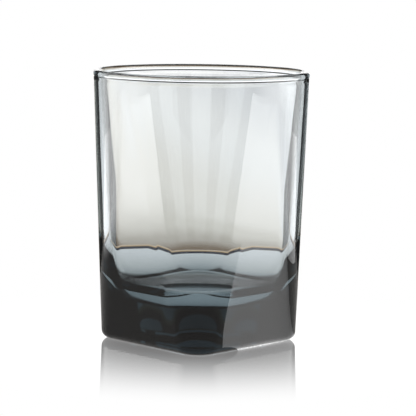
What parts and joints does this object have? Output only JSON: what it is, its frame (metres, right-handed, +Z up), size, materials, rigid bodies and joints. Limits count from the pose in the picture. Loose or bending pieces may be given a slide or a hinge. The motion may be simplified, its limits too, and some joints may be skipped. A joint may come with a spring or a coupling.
{
  "type": "whiskey tumbler",
  "caption": "Whiskey tumbler in smoke-tinted glass, with a round beaded rim, a wall that squares off towards the foot and a thick solid base, for short drinks over ice.",
  "frame": {"origin": "centre of the plane that the base rests on", "axes": "+Z up, out of the mouth along the glass's axis; the flat sides face X and Y"},
  "size_m": [0.082, 0.082, 0.1028],
  "materials": {
    "smoke_glass": "clear body-tinted glass, fire-polished gloss"
  },
  "bodies": {
    "root": {"tumbler_glass": "smoke_glass"}
  },
  "joints": []
}
